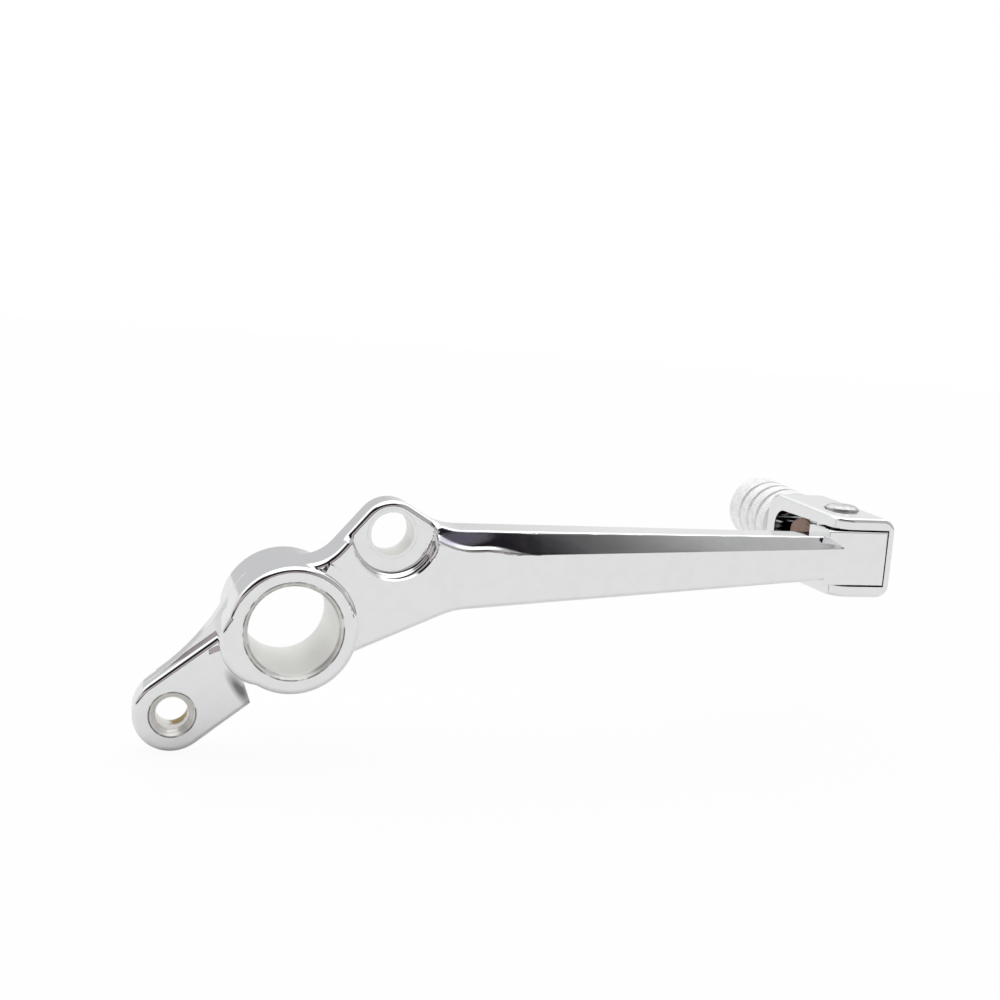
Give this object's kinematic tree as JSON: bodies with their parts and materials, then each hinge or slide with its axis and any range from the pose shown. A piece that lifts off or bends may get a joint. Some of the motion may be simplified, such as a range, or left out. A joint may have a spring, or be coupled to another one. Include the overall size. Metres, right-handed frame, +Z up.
{
  "type": "motorcycle gear shift lever",
  "caption": "Chrome-plated motorcycle foot lever with a bored pivot boss, link arm, drilled lug, tapering arm and a sprung folding toe peg.",
  "frame": {"origin": "on the pivot axis, halfway along the boss", "axes": "+X along the lever from the pivot to the toe, +Y along the pivot axis towards the peg, +Z up"},
  "size_m": [0.1656, 0.0577, 0.0546],
  "materials": {
    "plated_lever": "mirror chrome plate on a casting",
    "plated_clevis": "mirror chrome plate on a casting",
    "peg": "satin, finely knurled",
    "steel": "bright zinc"
  },
  "bodies": {
    "lever": {"lever_body": "plated_lever", "return_spring": "steel"},
    "toe": {"toe_clevis": "plated_clevis", "toe_peg": "peg", "hinge_rivet": "steel", "peg_screw": "steel"}
  },
  "joints": [
    {"name": "toe_fold", "type": "hinge", "parent": "lever", "child": "toe", "pos_m": [0.1273, 0.0037, 0.01665], "axis": [0, 0, 1], "range_deg": [0, 70], "stiffness_Nm_per_rad": 0.15, "springref_deg": -57.3, "deforming": ["return_spring"]}
  ]
}
